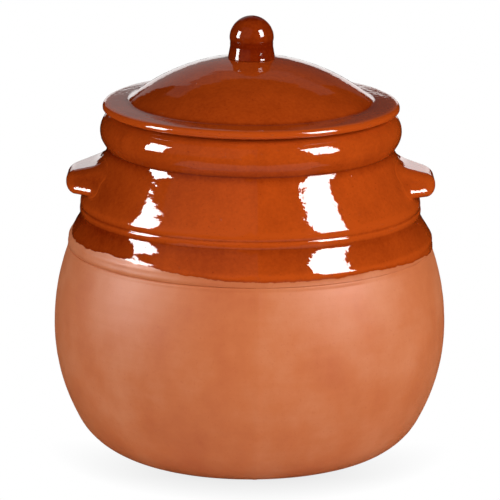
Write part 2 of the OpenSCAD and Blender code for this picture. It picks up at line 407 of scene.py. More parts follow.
def run_tree(source, tree, name, **inputs):
    """Runs a Geometry Nodes tree on an object and gives its result as a plain mesh object."""
    modifier = source.modifiers.new(name, "NODES")
    modifier.node_group = tree
    sockets = {item.name: item.identifier for item in tree.interface.items_tree if item.in_out == "INPUT"}
    for key, value in inputs.items():
        modifier[sockets[key.replace("_", " ").capitalize()]] = value
    view = bpy.context.evaluated_depsgraph_get()
    mesh = bpy.data.meshes.new_from_object(source.evaluated_get(view), depsgraph=view)
    source.modifiers.remove(modifier)
    # The modifier leaves an empty first slot.
    mesh.materials.clear()
    mesh.materials.append(inputs["Material"])
    mesh.polygons.foreach_set("material_index", np.zeros(len(mesh.polygons), np.int32))
    mesh.name = name
    return show(name, mesh)


def turn_piece(name, rows, closed, segments, material, seed, seams=False, wobble=1.0, thick=0.0):
    """Turns rows (r, z, normal r, normal z, hollow) into a closed smooth piece; thick deepens its glaze
    colour, which on the lid and knob is painted shade.
    """
    clay = bpy.context.scene.crock_clay
    outline = bpy.data.meshes.new(name + " outline")
    outline.from_pydata([(r * MM, 0, z * MM) for r, z in rows[:, :2]], [], [])
    outline.attributes.new("facing", "FLOAT_VECTOR", "POINT").data.foreach_set(
        "vector", np.column_stack([rows[:, 2], np.zeros(len(rows)), rows[:, 3]]).ravel())
    outline.attributes.new("pool", "FLOAT", "POINT").data.foreach_set("value", rows[:, 4] + thick)
    source = show(name + " outline", outline)
    made = run_tree(
        source, turned_tree(), name, Segments=segments, Closed=int(closed), Wobble=clay.wobble * wobble,
        Ring_depth=clay.ring_depth, Ring_spacing=clay.ring_spacing, Seam_turn=clay.seam_turn,
        Seam_width=clay.seam_width, Seam_height=clay.seam_height if seams else 0.0, Seed=seed,
        Material=material)
    bpy.data.objects.remove(source)
    bpy.data.meshes.remove(outline)
    point_outward(made.data)
    return made


def point_outward(mesh):
    """Turns a closed mesh's faces outward."""
    work = bmesh.new()
    work.from_mesh(mesh)
    bmesh.ops.recalc_face_normals(work, faces=work.faces)
    if work.calc_volume(signed=True) < 0:
        bmesh.ops.reverse_faces(work, faces=work.faces)
    work.to_mesh(mesh)
    work.free()
    mesh.update()


def values_of(items, field, width=3):
    """A row of numbers from each of a mesh's vertices, faces or stored values."""
    values = np.empty(len(items) * width)
    items.foreach_get(field, values)
    return values.reshape(-1, width)


def radius_of(place):
    """Each point's distance from the axis."""
    return np.hypot(place[:, 0], place[:, 1])


def points_of(mesh):
    """Vertex places, in mm."""
    return values_of(mesh.vertices, "co") / MM


def move_to(mesh, place):
    """Sets vertex places, in mm."""
    mesh.vertices.foreach_set("co", (np.asarray(place) * MM).ravel())
    mesh.update()


def normals_of(mesh):
    """Vertex normals."""
    return values_of(mesh.vertex_normals, "vector")


def keep_values(mesh, name, values):
    """Stores a number on each vertex."""
    found = mesh.attributes.get(name) or mesh.attributes.new(name, "FLOAT", "POINT")
    found.data.foreach_set("value", np.asarray(values, float))


def kept_values(mesh, name):
    """The numbers stored on the vertices."""
    return values_of(mesh.attributes[name].data, "value", 1).ravel()


def waver(place, seed, length, turns=9):
    """A smooth repeatable wander between about -1 and 1, in waves about length mm long."""
    maker = np.random.default_rng(seed)
    total = np.zeros(len(place))
    for _ in range(turns):
        way = maker.normal(size=3)
        way *= math.tau / length * maker.uniform(0.6, 1.5) / np.linalg.norm(way)
        total += np.sin(place @ way + maker.uniform(0, math.tau))
    return total / math.sqrt(turns)


def over_line(place):
    """Height, in mm, above the glaze's wandering lower edge."""
    clay = bpy.context.scene.crock_clay
    turn = np.arctan2(place[:, 0], -place[:, 1])
    line = clay.glaze_line - clay.glaze_lean * np.sin(turn) + clay.glaze_wave * (1 - np.cos(4 * turn))
    line = (line + clay.glaze_hold * hump(turn, math.radians(-97), math.radians(14))) / MM
    # Slow runs of 26 mm and small ones of 9 mm, the same a little way up and down.
    level = place * (1, 1, 0.2)
    return place[:, 2] - line - 0.45 * waver(level, 5, 26) - 0.3 * waver(level, 6, 9)


def dip(mesh, inner_r):
    """Coats a turned wall all over inside and down to the line outside, with a bead at that edge."""
    thick = bpy.context.scene.crock_clay.glaze_thick / MM
    place = points_of(mesh)
    within = radius_of(place) < inner_r(place[:, 2])
    far = 20.0
    above = np.where(within, far, np.clip(over_line(place), -far, far))
    coat = ease(-0.3, 0.5, above) + 0.2 * hump(above, 1.3, 1.1)
    # Inside, the glaze adds nothing, so that the mouth keeps its size.
    coat = np.where(within, 0.0, coat)
    move_to(mesh, place + normals_of(mesh) * (coat * thick)[:, None])
    keep_values(mesh, "over_line", above)


def press_joint(mesh):
    """Works the joint as wet clay: pressed flush at the right, a soft roll over a groove at the left."""
    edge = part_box("neck")[1].x / MM
    place = points_of(mesh)
    out = radius_of(place)
    up, aside = place[:, 2] - JOINT_Z, place[:, 0] / np.maximum(out, 1)
    left = ease(0.15, -0.45, aside)
    # Clay fills the groove to a slope that runs 1 mm out over the reach, less a line that stays at the left.
    reach, line_deep, line_wide = 3, 0.6, 0.9
    flush = edge + ease(reach, -reach, up) - line_deep * left * hump(up, 0, line_wide)
    fill = np.maximum(flush - out, 0) * ease(edge - 2.8, edge - 1.6, out) * (np.abs(up) < reach)
    # The roll above it, fuller at the left.
    roll = (0.15 + 0.35 * left) * hump(up, 2.7, 1.7)
    fill += roll * ease(edge - 7, edge - 2, out) * (up > 0.05)
    place[:, :2] *= (1 + fill / np.maximum(out, 1))[:, None]
    move_to(mesh, place)


def skew(mesh):
    """Lifts the neck's front a little, as the band sits askew on the real pot; foot and rim stay level."""
    lift = bpy.context.scene.crock_clay.band_lift / MM
    place = points_of(mesh)
    # From the belly's widest part, over the joint, the band and the slope, to the collar.
    heights, shares, band_r = (-45.5, 1.5, 25.5, 59.5, 80.5), (0, 0.35, 1.0, 0.25, 0), 129
    share = np.interp(place[:, 2] - JOINT_Z, heights, shares)
    place[:, 2] += lift * share * -place[:, 1] / band_r
    move_to(mesh, place)


def paint_left_shade(mesh, depth=0.3):
    """Darkens the glaze round the left side with painted shade, by deepening its stored pool value there."""
    place = points_of(mesh)
    aside = place[:, 0] / np.maximum(radius_of(place), 1)
    keep_values(mesh, "pool", kept_values(mesh, "pool") + depth * ease(-0.35, -1.0, aside))


def finish_piece(piece, body, slot, *nodes):
    """Hands a finished piece to the frame."""
    piece.data.update()
    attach(piece, body)
    if nodes:
        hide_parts(*nodes)


# What marks each fired surface: the marks' size in mm, detail, roughness, and squash along X, Y and Z.
# The peel, specks, grog and grain are drawn coarser than they are, so that they show.
MARKS = {
    "glaze": {
        "cloud": (62.5, 4, 0.6, (1, 1, 1)), "streak": (14.3, 3, 0.55, (1, 1, 0.3)),
        "mottle": (2.33, 2, 0.6, (1, 1, 1)), "speck": (1.33, 1, 0.5, (1, 1, 1)),
        "peel": (3.846, 1, 0.4, (1, 1, 1.3)), "swell": (10.53, 1, 0.5, (1, 1, 2)),
    },
    "clay": {
        "blotch": (65, 5, 0.62, (1, 1, 1)), "scum": (29.4, 4, 0.6, (1, 1, 0.8)),
        "sponge": (16.7, 3, 0.6, (0.25, 0.25, 3.2)), "grog": (1.92, 2, 0.6, (1, 1, 1)),
        "grain": (1.11, 3, 0.6, (1, 1, 1)),
    },
    "line": {"ragged": (3.03, 3, 0.6, (1, 1, 1))},
}


def glaze_layer(add, mark, colours):
    """Glaze: thick and dark in hollows, thin and orange on edges, with slow clouds and fine iron specks."""
    pool = add("ShaderNodeAttribute", out="Fac", attribute_name="pool")
    depth = 0.26
    for label, share in (("cloud", 0.2), ("streak", 0.12), ("mottle", 0.14)):
        depth = add("MULTIPLY_ADD", (mark[label], share, depth))
    # Over sharp edges the glaze thins only so far.
    drawn = add("ShaderNodeMapRange", (pool, -0.3, 0.7, -0.12, 0.7))
    depth = add("MULTIPLY_ADD", (drawn, -0.5, depth))
    colour = add("ShaderNodeValToRGB", (depth,), stops=(
        (0.16, colours.glaze_pool), (0.46, colours.glaze_body), (0.62, colours.glaze_body),
        (0.92, colours.glaze_thin)))
    speck = add("ShaderNodeMapRange", (mark["speck"], 0.70, 0.76, 0.0, 0.55))
    colour = add("ShaderNodeMix", {0: speck, 6: colour, 7: colours.glaze_pool}, 2, data_type="RGBA")
    # Fired glaze lies like orange peel, drawn out a little round the pot by the throwing lines.
    height = add("MULTIPLY", (mark["swell"], 0.04))
    height = add("MULTIPLY_ADD", (mark["peel"], 0.075, height))
    return colour, height


def clay_layer(add, mark, colours):
    """Clay: blotched by the kiln, freckled with grog, brushed by a faint horizontal sponge mark."""
    tone = -0.04
    for label, share in (("blotch", 0.6), ("scum", 0.4), ("sponge", 0.08)):
        tone = add("MULTIPLY_ADD", (mark[label], share, tone))
    # Paler towards the right, with a small step in tone at the seam.
    side = add("ShaderNodeAttribute", out="Fac", attribute_name="side")
    tone = add("MULTIPLY_ADD", (side, 0.012, tone))
    colour = add("ShaderNodeValToRGB", (tone,), stops=(
        (0.22, colours.clay_red), (0.5, colours.clay_body), (0.78, colours.clay_pale)))
    freckle = add("ShaderNodeMapRange", (mark["grog"], 0.62, 0.72, 0.0, 0.3))
    colour = add("ShaderNodeMix", {0: freckle, 6: colour, 7: colours.clay_red}, 2, data_type="RGBA")
    height = add("MULTIPLY", (mark["grain"], 0.05))
    height = add("MULTIPLY_ADD", (mark["sponge"], 0.09, height))
    return colour, height


def fired_material(name, surfaces):
    """Procedural fired pottery: glaze, clay, or both, with the glaze down to the line stored as over_line."""
    found = bpy.data.materials.get(name)
    if found:
        return found
    colours = bpy.context.scene.crock_colours
    material = bpy.data.materials.new(name)
    add = begin(material)
    where = add("ShaderNodeTexCoord", out="Object")
    mark = {}
    for surface in surfaces:
        for label, (size, detail, rough, squash) in MARKS[surface].items():
            at = add("ShaderNodeMapping", {"Vector": where, "Scale": squash})
            mark[label] = add("ShaderNodeTexNoise", {
                "Vector": at, "Scale": 1 / (size * MM), "Detail": detail, "Roughness": rough})
    if "glaze" in surfaces:
        colour, height = glaze_layer(add, mark, colours)
        rough = (mark["cloud"], 0.3, 0.7, 0.03, 0.06)
    if "clay" in surfaces:
        clay, clay_height = clay_layer(add, mark, colours)
    if surfaces == ("clay",):
        colour, height = clay, clay_height
        rough = (mark["scum"], 0.3, 0.7, 0.48, 0.56)
    elif "line" in surfaces:
        line = add("ShaderNodeAttribute", out="Fac", attribute_name="over_line")
        line = add("SUBTRACT", (line, 0.7))
        ragged = add("MULTIPLY_ADD", (mark["ragged"], 1.4, line))
        coat = add("ShaderNodeMapRange", (ragged, -0.12, 0.14))
        # The lowest glaze is drawn thick into a dark rolled edge.
        rolled = add("ShaderNodeMapRange", (ragged, 2.4, 0.2, 0.0, 0.35))
        colour = add("ShaderNodeMix", {0: rolled, 6: colour, 7: colours.glaze_pool}, 2, data_type="RGBA")
        colour = add("ShaderNodeMix", {0: coat, 6: clay, 7: colour}, 2, data_type="RGBA")
        height = add("ShaderNodeMix", {0: coat, 2: clay_height, 3: height}, data_type="FLOAT")
        rough = (coat, 0.0, 1.0, 0.5, 0.035)
    # The heights are in mm.
    bump = add("ShaderNodeBump", {"Height": height, "Strength": 1.0, "Distance": MM})
    shader = add("ShaderNodeBsdfPrincipled", {
        "Base Color": colour, "Roughness": add("ShaderNodeMapRange", rough), "IOR": 1.52, "Normal": bump,
        "Specular IOR Level": 0.5 if "glaze" in surfaces else 0.38})
    add("ShaderNodeOutputMaterial", {"Surface": shader}, None)
    return material


def glaze_over_clay():
    """Brown glaze poured to a ragged line over red clay: wet gloss above, dry satin below."""
    return fired_material("half_dipped_brown_glaze_on_red_earthenware", ("glaze", "clay", "line"))


def full_glaze():
    """Brown lead-style glaze, poured all over: wet gloss with clouds and fine specks."""
    return fired_material("poured_brown_glaze", ("glaze",))


def bare_clay():
    """Red earthenware fired bare: dry satin with kiln blotches, grog freckles and sponge marks."""
    return fired_material("fired_bare_red_earthenware", ("clay",))


class CROCK_OT_belly(bpy.types.Operator):
    """Turns the wide lower pot, bare outside and glazed within"""

    bl_idname = "crock.belly"
    bl_label = "Belly"

    def execute(self, context):
        path, closed = outline_of("belly")
        path = soften(path, closed)
        # Rows lie close at the joint, further apart on the wall, and wide inside and under the foot.
        joint_depth, inside_depth, foot_r = 14, 20, 95
        near_joint, on_wall, inside, under_foot = 0.8, 1.9, 5.0, 7.0

        def spacing(at, normal):
            wanted = np.where(at[:, 1] > JOINT_Z - joint_depth, near_joint, on_wall)
            wanted = np.where((normal[:, 1] < -0.9) & (at[:, 0] < foot_r), under_foot, wanted)
            floor = (normal[:, 1] > 0.5) & (at[:, 1] < JOINT_Z - inside_depth)
            return np.where((normal[:, 0] < -0.05) | floor, inside, wanted)

        rows = rows_of(path, closed, spacing)
        piece = turn_piece("belly_shell", rows, closed, 480, bare_clay(), 1.0, seams=True)
        mesh = piece.data
        mesh.materials.append(full_glaze())
        middle, normal = values_of(mesh.polygons, "center") / MM, values_of(mesh.polygons, "normal")
        inward = (middle[:, :2] * normal[:, :2]).sum(axis=1) < -0.1 * radius_of(middle)
        inward |= (normal[:, 2] > 0.5) & (middle[:, 2] < JOINT_Z - inside_depth)
        mesh.polygons.foreach_set("material_index", inward.astype(np.int32))
        press_joint(mesh)
        # The right half is a shade paler, and the tone changes a little over the seam.
        place = points_of(mesh)
        off = np.arctan2(place[:, 0], -place[:, 1]) - context.scene.crock_clay.seam_turn
        step = 0.6 * np.tanh(off * 60) * hump(off, 0, 0.6)
        keep_values(mesh, "side", 2.5 * ease(10, 110, place[:, 0]) + step)
        skew(mesh)
        finish_piece(piece, "pot", "bare_clay", "belly")
        return {"FINISHED"}


class CROCK_OT_neck(bpy.types.Operator):
    """Turns the neck with its bead, shoulder and collar, glazed down to the line"""

    bl_idname = "crock.neck"
    bl_label = "Neck"

    def execute(self, context):
        clay = context.scene.crock_clay
        path, closed = outline_of("neck")
        path = soften(path, closed)
        normal = facing(path, closed)
        outside = ease(0.0, 0.3, normal[:, 0])
        # A flat bead runs round the shoulder between two drawn lines; the slope above it runs down nearly
        # straight, and so does the flare below. Heights are over the joint, in mm.
        up = path[:, 1] - JOINT_Z
        bead = (ease(24.9, 26.5, up) - ease(28.7, 30.5, up)) * clay.bead_height / MM
        for middle, width, height in (
            (15, 5.5, 0.8), (24.9, 1.6, 0.35), (30.8, 0.8, -0.4), (35, 3.2, 0.5), (53.5, 13, 0.4),
            (75.9, 2.6, 0.9),
        ):
            bead += height * hump(up, middle, width)
        path = path + normal * (bead * outside)[:, None]
        on_wall, inside = 0.85, 3.2
        rows = rows_of(path, closed, lambda at, way: np.where(way[:, 0] < -0.3, inside, on_wall))
        # The glaze ran thicker below the bead and lies thicker over the collar.
        up = rows[:, 1] - JOINT_Z
        rows[:, 4] = 0.5 * rows[:, 4] + 0.15 * (1 - ease(20.5, 28.5, up)) + 0.14 * ease(68.5, 76.5, up)
        piece = turn_piece("neck_shell", rows, closed, 512, glaze_over_clay(), 2.0, seams=True, wobble=0.5)
        walls = [path[shown][np.argsort(path[shown, 1])]
                 for shown in (normal[:, 0] > 0.05, normal[:, 0] < -0.05)]
        press_joint(piece.data)
        dip(piece.data, lambda z: sum(np.interp(z, wall[:, 1], wall[:, 0]) for wall in walls) / 2)
        # Painted shade darkens the glaze round the left side.
        paint_left_shade(piece.data)
        finish_piece(piece, "pot", "brown_glaze", "neck")
        return {"FINISHED"}


def neck_table(turn_middle, low, high, reach=0.5):
    """Radius of the neck's glazed outside, in mm, over turn and height about a lug."""
    mesh = bpy.data.objects["neck_shell"].data
    place = points_of(mesh)
    out = radius_of(place)
    turn = np.arctan2(place[:, 1], place[:, 0]) - turn_middle
    turn = (turn + math.pi) % math.tau - math.pi
    facing_out = (normals_of(mesh)[:, :2] * place[:, :2]).sum(axis=1) > 0.15 * out
    spare = 3
    wall = (np.abs(turn) < reach) & (place[:, 2] > low - spare) & (place[:, 2] < high + spare) & facing_out
    turn, out, up = turn[wall], out[wall], place[wall, 2]
    turns = np.unique(np.round(turn, 3))
    heights = np.arange(low, high + 0.1, 0.5)
    table = np.empty((len(turns), len(heights)))
    for i, at in enumerate(turns):
        mine = np.abs(turn - at) < 0.003
        order = np.argsort(up[mine])
        table[i] = np.interp(heights, up[mine][order], out[mine][order])
    return turns, heights, table


def net(values, origin, step):
    """A net over a field's zero surface: a point in each crossed cell, a quad over each crossed edge."""
    inside = values < 0
    size = np.array(values.shape) - 1
    count = sum(inside[i:i + size[0], j:j + size[1], k:k + size[2]].astype(int)
                for i, j, k in product((0, 1), repeat=3))
    crossed = (count > 0) & (count < 8)
    number = np.full(crossed.shape, -1)
    number[crossed] = np.arange(crossed.sum())
    points = origin + (np.argwhere(crossed) + 0.5) * step
    quads = []
    for axis in range(3):
        a, b = [i for i in range(3) if i != axis]
        here = np.moveaxis(inside, axis, 0)
        starts = np.argwhere(here[:-1] != here[1:])
        filled = here[:-1][here[:-1] != here[1:]]
        keep = (starts[:, 1:] > 0).all(axis=1) & (starts[:, 1] < size[a]) & (starts[:, 2] < size[b])
        starts, filled = starts[keep], filled[keep]
        cells = np.moveaxis(number, axis, 0)
        s, p, q = starts.T
        ring = np.column_stack([
            cells[s, p - 1, q - 1], cells[s, p, q - 1], cells[s, p, q], cells[s, p - 1, q]])
        turned = filled ^ (axis == 1)
        ring[~turned] = ring[~turned][:, ::-1]
        quads.append(ring)
    return points, np.vstack(quads)


def rounded(a, b, r):
    """The part inside two forms, given by their signed distances, with the edge between them rounded."""
    corner = np.hypot(np.maximum(a + r, 0), np.maximum(b + r, 0))
    return corner + np.minimum(np.maximum(a, b) + r, 0) - r


def gathered(links, values, count):
    """The mean of each point's neighbours."""
    total = np.zeros_like(values)
    np.add.at(total, links[:, 0], values[links[:, 1]])
    return total / count


def skin_of(field, low, high, step):
    """A net between two corners, drawn on to a field's zero surface and evened out along it.

    Gives the points, the faces, the pairs of neighbours and how many each point has.
    """
    axes = [low[i] + step * np.arange(int((high[i] - low[i]) / step) + 2) for i in range(3)]
    nodes = np.stack(np.meshgrid(*axes, indexing="ij"), axis=-1).reshape(-1, 3)
    place, quads = net(field(nodes).reshape([len(axis) for axis in axes]), low, step)
    links = np.vstack([quads[:, [i, (i + 1) % 4]] for i in range(4)])
    links = np.vstack([links, links[:, ::-1]])
    count = np.bincount(links[:, 0], minlength=len(place))[:, None]
    # The last rounds only draw it on, without evening it out.
    rounds, even_rounds, probe, longest_move, evening = 8, 6, 0.05, 0.8, 0.6
    for done in range(rounds):
        rise = np.column_stack([
            (field(place + d) - field(place - d)) / (2 * probe) for d in np.eye(3) * probe])
        way = rise / np.maximum(np.linalg.norm(rise, axis=1, keepdims=True), 0.2)
        place = place - way * np.clip(field(place), -longest_move, longest_move)[:, None]
        if done < even_rounds:
            pull = gathered(links, place, count) - place
            pull -= way * (pull * way).sum(axis=1, keepdims=True)
            place = place + evening * pull
    return place, quads, links, count


def read_table(table, turns, heights, turn, height):
    """A table's values between its turns and heights."""
    i = np.clip(np.interp(turn, turns, np.arange(len(turns))), 0, len(turns) - 1.001)
    j = np.clip((height - heights[0]) / (heights[1] - heights[0]), 0, len(heights) - 1.001)
    a, b = i.astype(int), j.astype(int)
    u, v = i - a, j - b
    return ((1 - u) * (1 - v) * table[a, b] + u * (1 - v) * table[a + 1, b]
            + (1 - u) * v * table[a, b + 1] + u * v * table[a + 1, b + 1])


class CROCK_OT_lugs(bpy.types.Operator):
    """Models the two tongue lugs, luted on and blended into the neck's slope"""

    bl_idname = "crock.lugs"
    bl_label = "Lugs"

    def execute(self, context):
        fillet = context.scene.crock_clay.lug_fillet / MM
        # Sizes that both share, in mm: how far the tongue's underside is over the solid's, its thickness, its
        # half width at the tip, the height over its underside where it is fullest, its rounded edges, and the
        # narrow fillet under it.
        raised, thick, tip_half, fullest = 1.2, 15.8, 28.0, 4.0
        corner, side_edge, tip_edge, foot_edge, under_fillet = 7.0, 6.0, 7.5, 7.5, 2.5
        # The top's fall towards the tip and its tilt, and the sides' draft from the upright.
        lean, tilt, draft = 0.3, 0.02, math.radians(35)
        # The heights over which the fillet widens, how far its edge and its end go under the wall's face, and
        # how far the tongue is rooted in the wall.
        widening, sunk, tucked, root = (9, 19), 0.05, 0.6, 4.5
        # Where the net begins, its room beside the tongue, beyond it and above, and its step.
        net_from, room, beyond, headroom, step = 88.0, 16.0, 3, 44, 0.95
        # The right lug's sides were pressed straighter than the left's, and neither sits quite in the middle.
        for name, node, turn, taper, shift in (
            ("right_lug", "right_handle", 0.0, math.radians(29), 1.0),
            ("left_lug", "left_handle", math.pi, math.radians(39), 4.0),
        ):
            low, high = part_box(node)
            turns, heights, table = neck_table(turn, JOINT_Z + 28.5, JOINT_Z + 90.5)
            slope = np.gradient(table, heights, axis=1)
            tip = max(abs(low.x), abs(high.x)) / MM
            half = (high.y - low.y) / 2 / MM
            under = low.z / MM + raised

            def field(at):
                x, y, z = at.T
                about = turns, heights, np.arctan2(y, x), z
                wall = radius_of(at) - read_table(table, *about)
                wall /= np.sqrt(1 + read_table(slope, *about) ** 2)
                # The tongue: a slab that draws in to its tip, sloping up to the neck above, fullest low down.
                back = y * (-1 if turn else 1)
                side = (np.abs(back - shift) - tip_half) * math.cos(taper) + (x - tip) * math.sin(taper)
                side = side * math.cos(draft) + (z - under - fullest) * math.sin(draft)
                top = (z - under - thick - (tip - x) * lean + tilt * back) / math.hypot(1, lean)
                above = rounded(rounded(side, top, side_edge), rounded(x - tip, top, tip_edge), corner)
                tongue = rounded(above, under - z, foot_edge)
                # It runs into the wall, narrowly below and widely above, and ends just under the wall's face.
                wide = under_fillet + (fillet - under_fillet) * ease(*widening, z - under)
                far = tongue - wall
                near = wall + sunk + tucked * ease(0.6 * wide, wide, far)
                mix = np.maximum(wide - np.abs(near - tongue), 0) / wide
                joined = np.minimum(near, tongue) - mix * mix * wide / 4
                return np.maximum(np.maximum(joined, far - wide), -root - wall)

            inner = np.array([net_from, -half - room, under - room / 2])
            outer = np.array([tip + beyond, half + room, under + headroom])
            place, quads, links, count = skin_of(field, inner, outer, step)
            if turn:
                place = place * (-1, -1, 1)
            mesh = bpy.data.meshes.new(name)
            mesh.from_pydata((place * MM).tolist(), [], quads.tolist())
            mesh.materials.append(full_glaze())
            mesh.polygons.foreach_set("use_smooth", np.ones(len(quads), bool))
            piece = show(name, mesh)
            point_outward(mesh)
            # Glaze lies thicker where the mesh is hollow and thinner over its edges.
            mean = place = points_of(mesh)
            for _ in range(9):
                mean = gathered(links, mean, count)
            keep_values(mesh, "pool", ((mean - place) * normals_of(mesh)).sum(axis=1))
            # Painted shade darkens the glaze round the left side.
            paint_left_shade(mesh)
            skew(mesh)
            finish_piece(piece, "pot", "brown_glaze", node)
        # The neck is skewed last, because the lugs were fitted to it upright.
        skew(bpy.data.objects["neck_shell"].data)
        return {"FINISHED"}


class CROCK_OT_lid(bpy.types.Operator):
    """Turns the domed lid, its locating ring and its thimble knob"""

    bl_idname = "crock.lid"
    bl_label = "Lid"

    def execute(self, context):
        dome, closed = outline_of("lid")
        dome = soften(dome, closed, least=0.8)
        # The rim is trimmed a little from below, so a dark gap shows over the collar.
        trim, from_edge, to_edge = 1.0, 14, 9
        seat, brim = dome[:, 1].min(), dome[:, 0].max()
        rim = (dome[:, 1] < seat + 1.5) & (dome[:, 0] > brim - from_edge - 2)
        dome[:, 1] += np.where(rim, trim * ease(brim - from_edge, brim - to_edge, dome[:, 0]), 0)

        beneath, on_top, on_edge = 3.0, 1.3, 0.6

        def spacing(at, way):
            return np.where(way[:, 1] < -0.3, beneath, np.where(way[:, 1] > 0.3, on_top, on_edge))

        rows = rows_of(dome, closed, spacing)
        rows[:, 4] *= 0.4
        # The added thickness darkens the lid's glaze all over, as painted shade for the dim light from
        # overhead.
        lid = turn_piece("lid_dome", rows, closed, 480, full_glaze(), 3.0, wobble=0.7, thick=0.2)
        # Painted shade darkens its glaze more round the left side.
        paint_left_shade(lid.data, 0.12)
        finish_piece(lid, "lid", "brown_glaze", "lid")

        path, closed = outline_of("lid_locating_ring")
        rows = rows_of(soften(path, closed, least=0.9), closed, lambda at, way: np.full(len(at), 0.8))
        ring = turn_piece("lid_seat_ring", rows, closed, 256, full_glaze(), 4.0, wobble=0.5, thick=0.28)
        finish_piece(ring, "lid", "brown_glaze", "lid_locating_ring")

        path, closed = outline_of("lid_knob")
        path = soften(path, closed, least=0.6)
        skin = dome[np.argmax(dome[:, 0]):][::-1]
        over = path[:, 1] - np.interp(path[:, 0], skin[:, 0], skin[:, 1])
        # Below the cap the stem widens in a straight cone to its foot, and a finger has left a faint line.
        core_r, stem, widening, line_down, line_wide, line_deep = 8, 9.5, 1.7, 19.5, 1.1, 0.28
        outer = path[:, 0] > core_r
        cone = path[:, 0].max() - widening * np.clip(over / stem, 0, 1)
        path[:, 0] = np.where(outer & (over < stem), np.maximum(path[:, 0], cone), path[:, 0])
        down = path[:, 1].max() - path[:, 1]
        path[:, 0] -= np.where(outer, line_deep * hump(down, line_down, line_wide), 0)
        rows = rows_of(path, closed, lambda at, way: np.where(way[:, 1] < -0.8, 2.0, on_edge))
        rows[:, 4] *= 0.4
        # The added thickness darkens the knob's glaze, as painted shade for the dim light from overhead.
        knob = turn_piece("thimble_knob", rows, closed, 144, full_glaze(), 5.0, wobble=0.6, thick=0.6)
        finish_piece(knob, "lid", "brown_glaze", "lid_knob")
        return {"FINISHED"}


def blister_tree():
    """Geometry Nodes that scatter small burst bubbles over a glazed surface, thickest where flaw is high."""
    tree, empty = tree_of("glaze blisters", "Blisters", {
        "Surface": "Geometry", "Density": "Float", "Smallest": "Float", "Largest": "Float", "Seed": "Int",
        "Material": "Material"})
    if not empty:
        return tree
    add = partial(put, tree)
    given = add("NodeGroupInput", out=None)
    flaw = add("GeometryNodeInputNamedAttribute", {"Name": "flaw"}, data_type="FLOAT")
    density = add("MULTIPLY", (flaw, given["Density"]))
    spread = add("GeometryNodeDistributePointsOnFaces",
                 {"Mesh": given["Surface"], "Density": density, "Seed": given["Seed"]}, None)
    size = add("FunctionNodeRandomValue",
               {2: given["Smallest"], 3: given["Largest"], "Seed": given["Seed"]}, 1, data_type="FLOAT")
    low = add("MULTIPLY", (size, 0.45))
    scale = add("ShaderNodeCombineXYZ", (size, size, low))
    drop = add("GeometryNodeMeshUVSphere", {"Segments": 9, "Rings": 5, "Radius": 1.0})
    made = add("GeometryNodeInstanceOnPoints", {
        "Points": spread["Points"], "Instance": drop, "Rotation": spread["Rotation"], "Scale": scale})
    made = add("GeometryNodeRealizeInstances", {"Geometry": made})
    made = add("GeometryNodeSetShadeSmooth", {"Geometry": made})
    made = add("GeometryNodeSetMaterial", {"Geometry": made, "Material": given["Material"]})
    add("NodeGroupOutput", {"Blisters": made}, None)
    return tree


class CROCK_OT_blisters(bpy.types.Operator):
    """Scatters the glaze's small blisters along the lid's edge, the collar, the bead and the lower edge"""

    bl_idname = "crock.blisters"
    bl_label = "Glaze blisters"

    def execute(self, context):
        for host, body, name, seed in (
            ("neck_shell", "pot", "neck_blisters", 3), ("lid_dome", "lid", "lid_blisters", 8),
        ):
            mesh = bpy.data.objects[host].data
            place = points_of(mesh)
            up, out = place[:, 2], radius_of(place)
            shown = (normals_of(mesh)[:, :2] * place[:, :2]).sum(axis=1) > 0.05 * out
            if body == "pot":
                above = kept_values(mesh, "over_line")
                flaw = 0.12 + 0.9 * hump(above, 2.5, 2.0)
                # On the bead, under the collar and over it.
                for middle, width, share in ((28.5, 3, 0.6), (76.5, 3, 0.9), (94.5, 5, 0.5)):
                    flaw += share * hump(up - JOINT_Z, middle, width)
                flaw = np.where(shown & (above > 0.8), flaw, 0)
            else:
                # On the lid's edge and round the foot of its dome.
                flaw = 0.05 + 1.6 * ease(BRIM_R - 4.5, BRIM_R - 1.5, out) + 0.5 * hump(out, BRIM_R - 18.5, 4)
                flaw = np.where((shown | (up > RIM_Z + 5)) & (up > RIM_Z + 0.8), flaw, 0)
            keep_values(mesh, "flaw", flaw)
            made = run_tree(bpy.data.objects[host], blister_tree(), name, Density=9000.0, Smallest=0.22 * MM,
                            Largest=0.6 * MM, Seed=seed, Material=full_glaze())
            mesh.attributes.remove(mesh.attributes["flaw"])
            finish_piece(made, body, "brown_glaze")
        return {"FINISHED"}


class CROCK_OT_weights(bpy.types.Operator):
    """Rounds the two half-moon pressing weights and glazes them"""

    bl_idname = "crock.weights"
    bl_label = "Pressing weights"

    def execute(self, context):
        for node in ("left_weight", "right_weight"):
            work = bmesh.new()
            work.from_mesh(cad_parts[node].data)
            bmesh.ops.remove_doubles(work, verts=work.verts, dist=1e-6)
            bmesh.ops.dissolve_limit(work, angle_limit=math.radians(0.5), verts=work.verts, edges=work.edges)
            sharp = [edge for edge in work.edges
                     if len(edge.link_faces) == 2 and edge.calc_face_angle() > math.radians(40)]
            bmesh.ops.bevel(work, geom=sharp, offset=2.6 * MM, segments=4, profile=0.5, affect="EDGES",
                            clamp_overlap=True)
            bmesh.ops.triangulate(work, faces=[f for f in work.faces if len(f.verts) > 4])
            mesh = bpy.data.meshes.new(node + "_stone")
            work.to_mesh(mesh)
            work.free()
            mesh.polygons.foreach_set("use_smooth", np.ones(len(mesh.polygons), bool))
            mesh.set_sharp_from_angle(angle=math.radians(35))
            mesh.materials.clear()
            mesh.materials.append(full_glaze())
            finish_piece(show(node + "_stone", mesh), node, "thin_glaze", node)
        return {"FINISHED"}


def towards(turn, up):
    """The way to a place that many degrees to the right of the front and above the level."""
    turn, up = math.radians(turn), math.radians(up)
    return Vector((math.sin(turn) * math.cos(up), -math.cos(turn) * math.cos(up), math.sin(up)))


